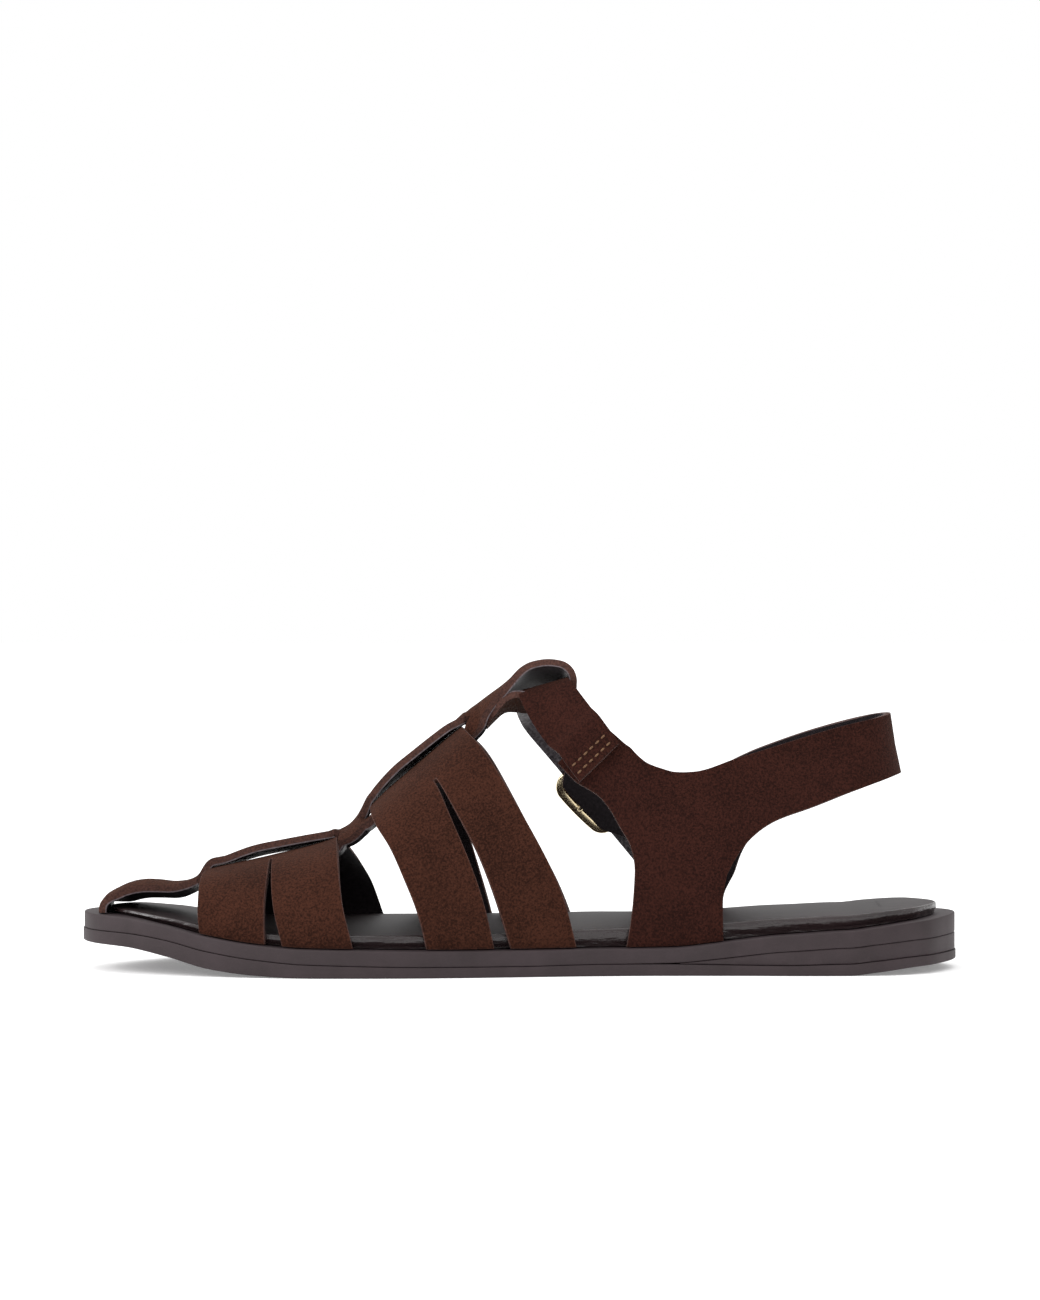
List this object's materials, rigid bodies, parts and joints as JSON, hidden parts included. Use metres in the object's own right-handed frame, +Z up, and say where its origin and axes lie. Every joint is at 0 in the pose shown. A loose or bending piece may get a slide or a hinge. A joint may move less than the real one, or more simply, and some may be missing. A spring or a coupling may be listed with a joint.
{
  "type": "flat sandal",
  "caption": "Flat closed-toe strap sandal: two slit foot bands, a woven centre strap looped round a buckled ankle strap, a heel strap and a thin stacked sole",
  "frame": {"origin": "on the floor under the middle of the outline of the sole", "axes": "+X points to the heel and -X to the toe, -Y to the medial side, +Y to the lateral side where the buckle sits, +Z up"},
  "size_m": [0.255, 0.094, 0.0897],
  "materials": {
    "sole_rubber": "matte brown rubber",
    "insole_leather": "dark smooth leather over soft padding",
    "suede": "brown suede",
    "buckle_brass": "polished pale gold"
  },
  "bodies": {
    "root": {"outsole": "sole_rubber", "heel_wedge": "sole_rubber", "midsole": "sole_rubber", "insole": "insole_leather", "upper_straps": "suede", "quarters": "suede", "ankle_strap": "suede", "buckle_tab": "suede", "buckle_frame": "buckle_brass", "buckle_prong": "buckle_brass"}
  },
  "joints": []
}
